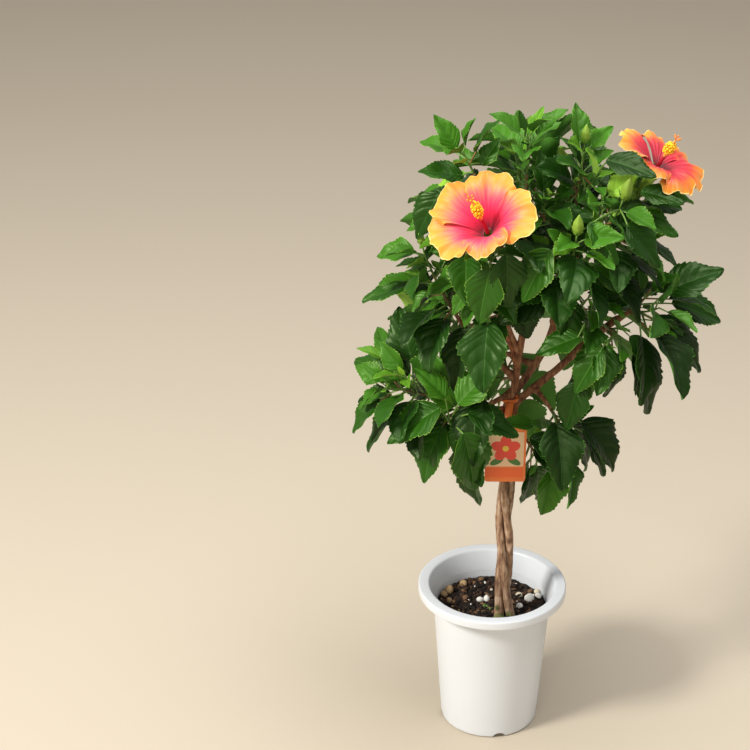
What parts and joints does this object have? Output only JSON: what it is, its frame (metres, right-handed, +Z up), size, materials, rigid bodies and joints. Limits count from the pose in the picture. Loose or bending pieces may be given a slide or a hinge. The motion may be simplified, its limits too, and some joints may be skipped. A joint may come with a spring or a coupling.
{
  "type": "potted hibiscus shrub",
  "caption": "Small flowering shrub in a plain round pot: twisted stems, tapering boughs and masses of toothed leaves with open blooms and buds, for gardens, patios and window sills.",
  "frame": {"origin": "middle of the pot's flat underside", "axes": "+Z up along the trunk, -Y towards the side that the label hangs on, +X to the right seen from there"},
  "size_m": [0.3705, 0.2995, 0.7173],
  "materials": {
    "pot": "satin",
    "soil": "matte",
    "bark": "matte",
    "leaf": "gloss",
    "tag": "satin"
  },
  "bodies": {
    "root": {"pot": "pot", "soil": "soil", "stem_a": "bark", "stem_b": "bark", "stem_c": "bark", "tag": "tag", "bough_top_left": "bark", "bough_top_centre": "bark", "bough_top_right": "bark", "bough_bloom_right": "bark", "bough_right_shoulder": "bark", "bough_centre_right": "bark", "bough_right": "bark", "bough_right_low": "bark", "bough_low_right_inner": "bark", "bough_low_right": "bark", "bough_low_left_front": "bark", "bough_far_left": "bark", "bough_left": "bark", "bough_bloom_left": "bark", "bough_left_upper": "bark", "bough_centre_low": "bark", "bough_back_top": "bark", "bough_back_left_upper": "bark", "bough_back_right_upper": "bark", "bough_back_left_low": "bark", "bough_back_right_low": "bark", "bough_back_low": "bark", "foliage_top_left": "leaf", "foliage_top_centre": "leaf", "foliage_top_right": "leaf", "foliage_bloom_right": "leaf", "foliage_right_shoulder": "leaf", "foliage_centre_right": "leaf", "foliage_right": "leaf", "foliage_right_low": "leaf", "foliage_low_right_inner": "leaf", "foliage_low_right": "leaf", "foliage_low_left_front": "leaf", "foliage_far_left": "leaf", "foliage_left": "leaf", "foliage_bloom_left": "leaf", "foliage_left_upper": "leaf", "foliage_centre_low": "leaf", "foliage_back_top": "leaf", "foliage_back_left_upper": "leaf", "foliage_back_right_upper": "leaf", "foliage_back_left_low": "leaf", "foliage_back_right_low": "leaf", "foliage_back_low": "leaf"}
  },
  "joints": []
}
